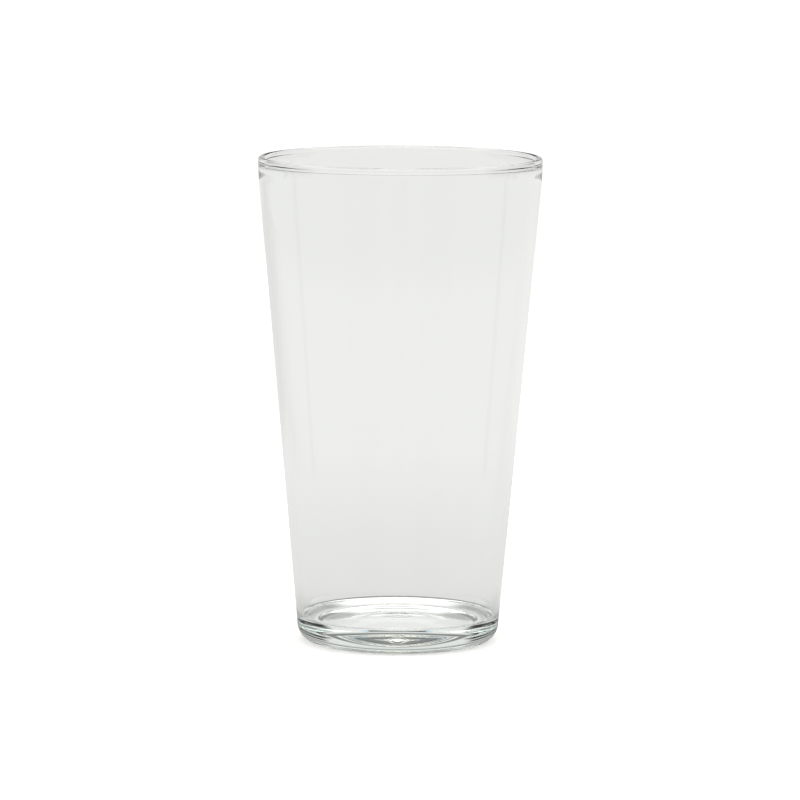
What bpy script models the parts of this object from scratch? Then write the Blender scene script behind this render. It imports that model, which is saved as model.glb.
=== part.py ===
"""Mixing glass: a plain conical bar glass, one body of clear soda-lime glass.

The glass is a solid of revolution about +Z. It stands on the narrow bearing ring of its foot,
which lies in the plane z = 0, and the origin is the centre of that ring. All sizes are metres.
"""

import math

import bmesh
import bpy

# Driving dimensions
HEIGHT = 0.150
RIM_RADIUS = 0.044              # outside, at the widest point of the rim
WALL_SLOPE = 0.0894             # outward run of the wall for each metre of height
RIM_BEAD_RADIUS = 0.00115       # the fire-polished rim is a round bead
WALL_UNDER_RIM = 0.0019         # wall thickness just below the bead
WALL_AT_FOOT = 0.0017           # wall thickness just above the floor's corner

FLOOR_EDGE_RADIUS = 0.0288      # where the floor's corner begins to rise
FLOOR_EDGE_Z = 0.0079
FLOOR_CENTRE_Z = 0.0078         # the floor is slightly dished
CORNER_HEIGHT = 0.0007          # rise of the rounded corner between floor and wall

HEEL_HEIGHT = 0.0055            # rounded outer edge of the foot
BEARING_OUTER_RADIUS = 0.0260   # flat ring that the glass stands on
BEARING_INNER_RADIUS = 0.0248
RECESS_HEIGHT = 0.0047          # the recess below the foot is a dome, this high on the axis

SEGMENTS = 96                   # around the axis, a multiple of four
WALL_STEPS = 5
HEEL_STEPS = 6
BEAD_STEPS = 8
CORNER_STEPS = 4
FLOOR_STEPS = 3
RECESS_STEPS = 7
MERGE_DISTANCE = 0.00001

GLASS_COLOUR = (0.93, 0.95, 0.94, 1.0)
GLASS_IOR = 1.52
GLASS_ROUGHNESS = 0.02


def outer_radius(z):
    """Radius of the conical outer wall at height z."""
    return RIM_RADIUS - WALL_SLOPE * (HEIGHT - RIM_BEAD_RADIUS - z)


def inner_radius(z):
    """Radius of the inner wall, which thickens evenly from the rim down to the floor's corner."""
    top = HEIGHT - 2 * RIM_BEAD_RADIUS
    bottom = FLOOR_EDGE_Z + CORNER_HEIGHT
    share = (top - z) / (top - bottom)
    return outer_radius(z) - WALL_UNDER_RIM - share * (WALL_AT_FOOT - WALL_UNDER_RIM)


def quarter(start, end, steps, flat_first):
    """Quarter ellipse from start to end; it leaves start level when flat_first, else upright."""
    points = []
    for step in range(1, steps + 1):
        angle = math.pi / 2 * step / steps
        along, across = math.sin(angle), 1 - math.cos(angle)
        if not flat_first:
            along, across = across, along
        points.append((start[0] + (end[0] - start[0]) * along,
                       start[1] + (end[1] - start[1]) * across))
    return points


def parabola(start, end, steps):
    """Dish or dome between the axis and a radius, level where it crosses the axis."""
    reach = max(start[0], end[0])
    axis_z = start[1] if start[0] < end[0] else end[1]
    edge_z = end[1] if start[0] < end[0] else start[1]
    points = []
    for step in range(1, steps + 1):
        radius = start[0] + (end[0] - start[0]) * step / steps
        points.append((radius, axis_z + (edge_z - axis_z) * (radius / reach) ** 2))
    return points


def section():
    """Half section of the glass, from the floor's centre over the rim to the recess's centre."""
    corner_top_z = FLOOR_EDGE_Z + CORNER_HEIGHT
    bead_z = HEIGHT - RIM_BEAD_RADIUS
    bead_foot_z = HEIGHT - 2 * RIM_BEAD_RADIUS

    points = [(0.0, FLOOR_CENTRE_Z)]
    points += parabola(points[-1], (FLOOR_EDGE_RADIUS, FLOOR_EDGE_Z), FLOOR_STEPS)
    points += quarter(points[-1], (inner_radius(corner_top_z), corner_top_z), CORNER_STEPS, True)
    for step in range(1, WALL_STEPS + 1):
        z = corner_top_z + (bead_foot_z - corner_top_z) * step / WALL_STEPS
        points.append((inner_radius(z), z))

    bead_centre = RIM_RADIUS - RIM_BEAD_RADIUS
    for step in range(BEAD_STEPS + 1):
        angle = math.pi * (1 - step / BEAD_STEPS)
        points.append((bead_centre + RIM_BEAD_RADIUS * math.cos(angle),
                       bead_z + RIM_BEAD_RADIUS * math.sin(angle)))

    for step in range(1, WALL_STEPS + 1):
        z = bead_z + (HEEL_HEIGHT - bead_z) * step / WALL_STEPS
        points.append((outer_radius(z), z))
    points += quarter(points[-1], (BEARING_OUTER_RADIUS, 0.0), HEEL_STEPS, False)

    points.append((BEARING_INNER_RADIUS, 0.0))
    points += parabola(points[-1], (0.0, RECESS_HEIGHT), RECESS_STEPS)
    return points


def clear_glass_material():
    material = bpy.data.materials.new("clear_glass")
    material.use_nodes = True
    shader = material.node_tree.nodes["Principled BSDF"]
    shader.inputs["Base Color"].default_value = GLASS_COLOUR
    shader.inputs["Roughness"].default_value = GLASS_ROUGHNESS
    shader.inputs["Metallic"].default_value = 0.0
    shader.inputs["IOR"].default_value = GLASS_IOR
    shader.inputs["Transmission Weight"].default_value = 1.0
    return material


def glass():
    """Turn the half section into the finished vessel with a Screw modifier."""
    mesh = bpy.data.meshes.new("glass")
    outline = bmesh.new()
    corners = [outline.verts.new((radius, 0.0, z)) for radius, z in section()]
    for start, end in zip(corners, corners[1:]):
        outline.edges.new((start, end))
    outline.to_mesh(mesh)
    outline.free()
    mesh.materials.append(clear_glass_material())

    vessel = bpy.data.objects.new("glass", mesh)
    bpy.context.scene.collection.objects.link(vessel)
    turn = vessel.modifiers.new("turn", "SCREW")
    turn.axis = "Z"
    turn.angle = 2 * math.pi
    turn.steps = SEGMENTS
    turn.render_steps = SEGMENTS
    turn.use_merge_vertices = True
    turn.merge_threshold = MERGE_DISTANCE
    turn.use_smooth_shade = True
    return vessel


def main():
    for old in list(bpy.data.objects):
        bpy.data.objects.remove(old)
    glass()


main()
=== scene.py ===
"""Studio scene of the mixing glass: the glass body, a pale floor, a light tent and the camera."""
import math

import bmesh
import bpy
from mathutils import Matrix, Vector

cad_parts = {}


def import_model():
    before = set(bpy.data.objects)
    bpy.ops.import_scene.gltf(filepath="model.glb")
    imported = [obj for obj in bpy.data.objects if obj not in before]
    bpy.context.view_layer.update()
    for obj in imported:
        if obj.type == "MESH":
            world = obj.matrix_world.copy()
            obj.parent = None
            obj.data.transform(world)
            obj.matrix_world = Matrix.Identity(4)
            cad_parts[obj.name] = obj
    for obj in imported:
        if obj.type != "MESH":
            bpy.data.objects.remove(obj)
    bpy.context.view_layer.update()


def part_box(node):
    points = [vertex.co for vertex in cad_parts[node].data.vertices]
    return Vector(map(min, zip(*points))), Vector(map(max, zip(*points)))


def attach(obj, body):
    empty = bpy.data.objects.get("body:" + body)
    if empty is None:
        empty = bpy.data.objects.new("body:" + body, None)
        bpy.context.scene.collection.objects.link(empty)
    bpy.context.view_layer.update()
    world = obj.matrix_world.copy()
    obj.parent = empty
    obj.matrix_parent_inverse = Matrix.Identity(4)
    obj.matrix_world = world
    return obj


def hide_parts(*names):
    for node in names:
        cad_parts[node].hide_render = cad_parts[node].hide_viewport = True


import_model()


# ---------------------------------------------------------------- sizes, in metres
low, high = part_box("glass")
HEIGHT = high.z - low.z
RIM_RADIUS = (high.x - low.x) / 2
BEAD = 0.00100                  # radius of the melted rim's round bead
BEAD_TURN = 205                 # degrees that the bead's outline turns through
RIM_INSET = 0.0003              # how far the melted rim draws in
RIM_ROUND = 0.0060              # over this much of the outer wall
SLOPE = 0.0894                  # outward run of the wall for each metre of height
WALL_TOP = 0.0019               # wall thickness just below the bead
WALL_LOW = 0.0017               # wall thickness just above the floor's corner
FLOOR_RADIUS = 0.0288           # where the floor's corner begins to rise
FLOOR_Z = 0.0078
FLOOR_DISH = 0.0001             # how far the floor's edge stands above its centre
CORNER = 0.0007                 # rise of the rounded corner between floor and wall
HEEL = 0.0055                   # height of the foot's rounded outer edge
RING_OUT = 0.0260               # the flat ring that the glass stands on
RING_IN = 0.0248
DOME = 0.0047                   # height of the recess below the foot, on the axis
DOME_POWER = 2.0
RIPPLE = 0.00002                # height of the rings that the mould's valve leaves on the floor
RIPPLE_PITCH = 0.0042
RIPPLE_REACH = 0.0085           # the rings fade out over this radius
ON_AXIS = 1e-7                  # a radius below this is one vertex on the axis

AROUND = 288
FLOOR_STEPS, CORNER_STEPS, WALL_STEPS = 56, 20, 48
BEAD_STEPS, HEEL_STEPS, DOME_STEPS = 28, 36, 48
WALL_CROWDING = 1.5             # above one, the outer wall's steps crowd towards the rim


def outer_radius(z):
    return RIM_RADIUS - SLOPE * (HEIGHT - BEAD - z)


def inner_radius(z):
    top, bottom = HEIGHT - 2 * BEAD, FLOOR_Z + FLOOR_DISH + CORNER
    return outer_radius(z) - WALL_TOP - (top - z) / (top - bottom) * (WALL_LOW - WALL_TOP)


def smooth(value):
    value = min(max(value, 0.0), 1.0)
    return value * value * (3 - 2 * value)


def quarter(start, end, steps, flat_first):
    """Quarter ellipse; it leaves start level when flat_first, else upright."""
    points = []
    for step in range(1, steps + 1):
        angle = math.pi / 2 * step / steps
        along, across = math.sin(angle), 1 - math.cos(angle)
        if not flat_first:
            along, across = across, along
        points.append((start[0] + (end[0] - start[0]) * along,
                       start[1] + (end[1] - start[1]) * across))
    return points


def floor_height(radius):
    """The dished floor with the rings left by the mould's valve."""
    share = radius / FLOOR_RADIUS
    fade = math.exp(-(radius / RIPPLE_REACH) ** 2)
    rings = RIPPLE * math.cos(2 * math.pi * radius / RIPPLE_PITCH) * fade
    return FLOOR_Z + FLOOR_DISH * share ** 2 + rings


def section():
    """Half section from the floor's centre over the rim to the recess's centre."""
    points = []
    for step in range(FLOOR_STEPS + 1):
        radius = FLOOR_RADIUS * step / FLOOR_STEPS
        points.append((radius, floor_height(radius)))
    corner_z = FLOOR_Z + FLOOR_DISH + CORNER
    points += quarter(points[-1], (inner_radius(corner_z), corner_z), CORNER_STEPS, True)
    top_z = HEIGHT - 2 * BEAD
    for step in range(1, WALL_STEPS + 1):
        z = corner_z + (top_z - corner_z) * step / WALL_STEPS
        points.append((inner_radius(z), z))
    for step in range(BEAD_STEPS + 1):
        angle = math.radians(BEAD_TURN) * (1 - step / BEAD_STEPS)
        points.append((RIM_RADIUS - RIM_INSET - BEAD + BEAD * math.cos(angle),
                       HEIGHT - BEAD + BEAD * math.sin(angle)))
    for step in range(1, WALL_STEPS + 1):
        z = HEIGHT - BEAD + (HEEL - HEIGHT + BEAD) * (step / WALL_STEPS) ** WALL_CROWDING
        inset = RIM_INSET * smooth(1 - (HEIGHT - BEAD - z) / RIM_ROUND)
        points.append((outer_radius(z) - inset, z))
    points += quarter(points[-1], (RING_OUT, 0.0), HEEL_STEPS, False)
    points.append((RING_IN, 0.0))
    for step in range(1, DOME_STEPS + 1):
        share = 1 - step / DOME_STEPS
        points.append((RING_IN * share, DOME * (1 - share ** DOME_POWER)))
    return points


def revolve(name, outline):
    """A closed solid of revolution whose outline starts and ends on the axis."""
    built = bmesh.new()
    rings = []
    for radius, z in outline:
        if radius < ON_AXIS:
            rings.append([built.verts.new((0.0, 0.0, z))])
            continue
        rings.append([built.verts.new((radius * math.cos(turn), radius * math.sin(turn), z))
                      for turn in (2 * math.pi * step / AROUND for step in range(AROUND))])
    for lower, upper in zip(rings, rings[1:]):
        for step in range(AROUND):
            after = (step + 1) % AROUND
            if len(lower) == 1:
                built.faces.new((lower[0], upper[step], upper[after]))
            elif len(upper) == 1:
                built.faces.new((lower[step], upper[0], lower[after]))
            else:
                built.faces.new((lower[step], upper[step], upper[after], lower[after]))
    if built.calc_volume(signed=True) < 0:
        bmesh.ops.reverse_faces(built, faces=built.faces)
    mesh = bpy.data.meshes.new(name)
    built.to_mesh(mesh)
    built.free()
    mesh.shade_smooth()
    thing = bpy.data.objects.new(name, mesh)
    bpy.context.scene.collection.objects.link(thing)
    return thing


# ---------------------------------------------------------------- node helpers
def add(tree, kind, **settings):
    node = tree.nodes.new(kind)
    for key, value in settings.items():
        setattr(node, key, value)
    return node


def feed(tree, node, index, value):
    """Set an input to a constant, or link it to another node's output."""
    if isinstance(value, (int, float, tuple)):
        node.inputs[index].default_value = value
    else:
        tree.links.new(value, node.inputs[index])


def math_node(tree, operation, first, second=None):
    node = add(tree, "ShaderNodeMath", operation=operation)
    feed(tree, node, 0, first)
    if second is not None:
        feed(tree, node, 1, second)
    return node.outputs[0]


def mix_value(tree, factor, first, second):
    node = add(tree, "ShaderNodeMix", data_type="FLOAT")
    for index, value in ((0, factor), (2, first), (3, second)):
        feed(tree, node, index, value)
    return node.outputs[0]


def mix_colour(tree, factor, first, second):
    node = add(tree, "ShaderNodeMix", data_type="RGBA")
    for index, value in ((0, factor), (6, first), (7, second)):
        feed(tree, node, index, value)
    return node.outputs[2]


def window(tree, value, start, end, soft):
    """One between start and end, nought outside, with soft edges."""
    edges = []
    for at in (start, end):
        edge = add(tree, "ShaderNodeMapRange", interpolation_type="SMOOTHSTEP")
        edge.inputs["From Min"].default_value = at - soft
        edge.inputs["From Max"].default_value = at + soft
        tree.links.new(value, edge.inputs["Value"])
        edges.append(edge.outputs[0])
    return math_node(tree, "SUBTRACT", edges[0], edges[1])


def ramp_node(tree, source, table, peak):
    """Brightness table over 0 to 1; the ramp's colours are held below one."""
    ramp = add(tree, "ShaderNodeValToRGB")
    stops = ramp.color_ramp.elements
    while len(stops) > 1:
        stops.remove(stops[-1])
    stops[0].position = table[0][0]
    for index, (position, value) in enumerate(table):
        stop = stops[0] if index == 0 else stops.new(position)
        grey = value / peak
        stop.color = (grey, grey, grey, 1.0)
    tree.links.new(source, ramp.inputs[0])
    return math_node(tree, "MULTIPLY", ramp.outputs[0], peak)


# ---------------------------------------------------------------- glass material
GLASS_TINT = (0.992, 0.996, 0.993, 1.0)
GLASS_IOR = 1.52
WAVE_SCALE = 90.0
WAVE_DETAIL = 1.0
WAVE_STRETCH = (1.0, 1.0, 0.12)  # the waves run up the wall
WAVE_STRENGTH = 0.15
WAVE_HEIGHT = 0.0002
DEPTH_COLOUR = (0.80, 0.90, 0.86, 1.0)
DEPTH_DENSITY = 7.0


def clear_glass():
    material = bpy.data.materials.new("clear_glass_polished")
    material.use_nodes = True
    tree = material.node_tree
    shader = tree.nodes["Principled BSDF"]
    output = tree.nodes["Material Output"]
    shader.inputs["Base Color"].default_value = GLASS_TINT
    shader.inputs["Transmission Weight"].default_value = 1.0
    shader.inputs["IOR"].default_value = GLASS_IOR
    shader.inputs["Roughness"].default_value = 0.0

    place = add(tree, "ShaderNodeTexCoord")
    stretch = add(tree, "ShaderNodeMapping")
    stretch.inputs["Scale"].default_value = WAVE_STRETCH
    tree.links.new(place.outputs["Object"], stretch.inputs["Vector"])
    waves = add(tree, "ShaderNodeTexNoise")
    waves.inputs["Scale"].default_value = WAVE_SCALE
    waves.inputs["Detail"].default_value = WAVE_DETAIL
    tree.links.new(stretch.outputs[0], waves.inputs["Vector"])
    bump = add(tree, "ShaderNodeBump")
    bump.inputs["Strength"].default_value = WAVE_STRENGTH
    bump.inputs["Distance"].default_value = WAVE_HEIGHT
    tree.links.new(waves.outputs["Fac"], bump.inputs["Height"])
    tree.links.new(bump.outputs[0], shader.inputs["Normal"])

    depth = add(tree, "ShaderNodeVolumeAbsorption")
    depth.inputs["Color"].default_value = DEPTH_COLOUR
    depth.inputs["Density"].default_value = DEPTH_DENSITY
    tree.links.new(depth.outputs[0], output.inputs["Volume"])
    return material


# ---------------------------------------------------------------- floor
FLOOR_WIDE = 1.2
FLOOR_SIDES = 128
SEEN_WHITE = 1.08               # how bright the light tent is to the camera
FLOOR_ALBEDO = (0.95, 0.95, 0.95, 1.0)
FLOOR_GLOW = 0.30
WARM = (1.0, 1.0, 0.985, 1.0)

# The floor's brightness as the glass sees it, by the distance from the axis: near the glass it
# differs between the back and the sides, and further out it is the same all round. It is painted
# light and shade on a glowing floor: a painted shadow ring round the foot at the sides, a painted
# bright ring just behind the foot with a painted shadow ring beyond it, and painted shade that
# keeps the far floor darkest near the glass.
SIDE = [(0, 0.95), (0.025, 0.9), (0.028, 0.30), (0.050, 0.27), (0.066, 0.62)]
BACK = [(0, 0.95), (0.025, 0.95), (0.0275, 1.6), (0.036, 1.6), (0.041, 0.25), (0.062, 0.25),
        (0.071, 0.75)]
FAR = [(0.100, 0.772), (0.190, 0.795), (0.280, 0.835), (0.410, 0.875), (0.560, 0.880),
       (0.940, 0.872), (1.200, 0.840)]
SHINE_PEAK = 2.0
BACK_WIDE = math.radians(38)    # half angle of the painted light and shadow rings behind the glass
BACK_SOFT = math.radians(10)

LEFT_DIM = 0.12                 # painted shade: the far left of the table is a little darker as the glass sees it
LEFT_SPAN = (math.radians(-45), math.radians(-13), math.radians(4))
LEFT_REACH = (0.38, 2.0, 0.08)  # from and to this distance, and how softly


def painted_floor_light(tree):
    """Brightness of the floor as the glass sees it: painted light and shade that the floor glows
    with in place of being lit.
    """
    place = add(tree, "ShaderNodeTexCoord")
    split = add(tree, "ShaderNodeSeparateXYZ")
    tree.links.new(place.outputs["Object"], split.inputs[0])
    across, along = split.outputs["X"], split.outputs["Y"]
    away = math_node(tree, "SQRT", math_node(
        tree, "ADD", math_node(tree, "MULTIPLY", across, across),
        math_node(tree, "MULTIPLY", along, along)))
    turn = math_node(tree, "ARCTAN2", across, along)

    # The tables run over the root of the distance, which gives the rings near the glass more room.
    root = math_node(tree, "SQRT", math_node(tree, "DIVIDE", away, FLOOR_WIDE))
    tables = [[((reach / FLOOR_WIDE) ** 0.5, value) for reach, value in near + FAR]
              for near in (SIDE, BACK)]
    beside, behind = (ramp_node(tree, root, table, SHINE_PEAK) for table in tables)
    at_back = window(tree, turn, -BACK_WIDE, BACK_WIDE, BACK_SOFT)
    shine = mix_value(tree, at_back, beside, behind)

    # Painted shade: the glow of the far left of the floor is dimmed.
    at_left = math_node(tree, "MULTIPLY", window(tree, turn, *LEFT_SPAN),
                        window(tree, away, *LEFT_REACH))
    kept = math_node(tree, "SUBTRACT", 1.0, math_node(tree, "MULTIPLY", at_left, LEFT_DIM))
    return math_node(tree, "MULTIPLY", shine, kept)


def floor_material():
    material = bpy.data.materials.new("pale_floor")
    material.use_nodes = True
    tree = material.node_tree
    tree.nodes.clear()
    output = add(tree, "ShaderNodeOutputMaterial")
    diffuse = add(tree, "ShaderNodeBsdfDiffuse")
    diffuse.inputs["Color"].default_value = FLOOR_ALBEDO
    extra = add(tree, "ShaderNodeEmission")
    extra.inputs["Strength"].default_value = FLOOR_GLOW
    seen = add(tree, "ShaderNodeAddShader")
    tree.links.new(diffuse.outputs[0], seen.inputs[0])
    tree.links.new(extra.outputs[0], seen.inputs[1])
    # Every ray but a camera ray sees the floor glow with painted light and shade round the foot,
    # in place of a lit surface.
    glow = add(tree, "ShaderNodeEmission")
    glow.inputs["Color"].default_value = WARM
    tree.links.new(painted_floor_light(tree), glow.inputs["Strength"])
    paths = add(tree, "ShaderNodeLightPath")
    both = add(tree, "ShaderNodeMixShader")
    tree.links.new(paths.outputs["Is Camera Ray"], both.inputs[0])
    tree.links.new(glow.outputs[0], both.inputs[1])
    tree.links.new(seen.outputs[0], both.inputs[2])
    tree.links.new(both.outputs[0], output.inputs["Surface"])
    return material


def floor():
    mesh = bpy.data.meshes.new("floor")
    built = bmesh.new()
    bmesh.ops.create_circle(built, cap_ends=True, radius=FLOOR_WIDE, segments=FLOOR_SIDES)
    built.to_mesh(mesh)
    built.free()
    mesh.materials.append(floor_material())
    thing = bpy.data.objects.new("floor", mesh)
    bpy.context.scene.collection.objects.link(thing)


# ---------------------------------------------------------------- light tent
# Brightness by elevation in degrees: a pale wall, a bright band, a dark gap, a lamp on top.
TENT = [(0, 0.84), (30, 0.84), (35, 2.1), (53, 2.1), (59, 0.15), (73, 0.15), (77, 4.0), (90, 4.0)]
TENT_PEAK = 4.0

# Dark cards: azimuth from and to, elevation from and to, in degrees, the brightness that is left,
# and the softness of the upright edges. Azimuth 0 is behind the glass, and 90 is on the right.
CARDS = [
    (-12, 12, 11.4, 19, 0.0, 0.025),
    (35, 100, 6, 45, 0.0, 0.08),
    (-100, -35, 6, 45, 0.0, 0.08),
    (71, 75, -30, 5, 0.4, 0.025),
    (-75, -71, -30, 5, 0.4, 0.025),
]
CARD_SOFT = 0.025               # softness of the level edges, in sine of the elevation

FRINGE = (-15, 15, 13, 22, 2.0)  # blue light round the back card, with its softness in degrees
BLUE = (0.60, 0.80, 1.0, 1.0)
LAMP = (0.965, 2.0, 0.01)       # sines of the elevation, and their softness
LAMP_COLOUR = (1.0, 0.93, 0.78, 1.0)
WHITE = (1.0, 1.0, 1.0, 1.0)


def patch(tree, turn, rise, edges, side_soft, level_soft):
    """One inside a patch of the tent, which is given by azimuths and elevations in degrees."""
    left, right, under, over = (math.radians(edge) for edge in edges)
    return math_node(tree, "MULTIPLY", window(tree, turn, left, right, side_soft),
                     window(tree, rise, math.sin(under), math.sin(over), level_soft))


def world():
    sky = bpy.data.worlds.new("light_tent")
    bpy.context.scene.world = sky
    sky.use_nodes = True
    tree = sky.node_tree
    tree.nodes.clear()
    output = add(tree, "ShaderNodeOutputWorld")
    light = add(tree, "ShaderNodeBackground")
    tree.links.new(light.outputs[0], output.inputs["Surface"])
    place = add(tree, "ShaderNodeTexCoord")
    split = add(tree, "ShaderNodeSeparateXYZ")
    tree.links.new(place.outputs["Generated"], split.inputs[0])
    turn = math_node(tree, "ARCTAN2", split.outputs["X"], split.outputs["Y"])
    rise = split.outputs["Z"]

    heights = [(math.sin(math.radians(degrees)), value) for degrees, value in TENT]
    lit = ramp_node(tree, rise, heights, TENT_PEAK)
    for *edges, level, soft in CARDS:
        cover = math_node(tree, "MULTIPLY", patch(tree, turn, rise, edges, soft, CARD_SOFT),
                          1 - level)
        lit = math_node(tree, "MULTIPLY", lit, math_node(tree, "SUBTRACT", 1.0, cover))

    *edges, soft = FRINGE
    fringe = patch(tree, turn, rise, edges, math.radians(soft), math.radians(soft))
    colour = mix_colour(tree, window(tree, rise, *LAMP),
                        mix_colour(tree, fringe, WARM, BLUE), LAMP_COLOUR)

    # The camera itself sees a plain white tent.
    seen = add(tree, "ShaderNodeLightPath").outputs["Is Camera Ray"]
    tree.links.new(mix_colour(tree, seen, colour, WHITE), light.inputs["Color"])
    tree.links.new(mix_value(tree, seen, lit, SEEN_WHITE), light.inputs["Strength"])


# ---------------------------------------------------------------- camera
CAMERA_PLACE = (0.000286, -1.4844, 0.2728)
CAMERA_DOWN = 7.6               # degrees below level
CAMERA_ROLL = 0.329             # degrees
CAMERA_LENS = 218.4
CAMERA_SENSOR = 36.0
CAMERA_REACH = 50.0


def camera():
    lens = bpy.data.cameras.new("camera")
    lens.sensor_width = CAMERA_SENSOR
    lens.lens = CAMERA_LENS
    lens.clip_end = CAMERA_REACH
    viewer = bpy.data.objects.new("camera", lens)
    bpy.context.scene.collection.objects.link(viewer)
    viewer.matrix_world = (Matrix.Translation(CAMERA_PLACE)
                           @ Matrix.Rotation(math.radians(90 - CAMERA_DOWN), 4, "X")
                           @ Matrix.Rotation(math.radians(CAMERA_ROLL), 4, "Z"))
    bpy.context.scene.camera = viewer


# ---------------------------------------------------------------- assemble
THROUGH_BOUNCES = 28            # light crosses the foot many times before it leaves
GLOSSY_BOUNCES = 20

glass = revolve("glass_body", section())
glass.data.materials.append(clear_glass())
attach(glass, "root")
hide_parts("glass")

floor()
world()
camera()

scene = bpy.context.scene
scene.view_settings.view_transform = "Standard"
scene.cycles.max_bounces = THROUGH_BOUNCES
scene.cycles.transmission_bounces = THROUGH_BOUNCES
scene.cycles.glossy_bounces = GLOSSY_BOUNCES
scene.cycles.caustics_refractive = True
scene.cycles.caustics_reflective = True

bpy.context.view_layer.update()
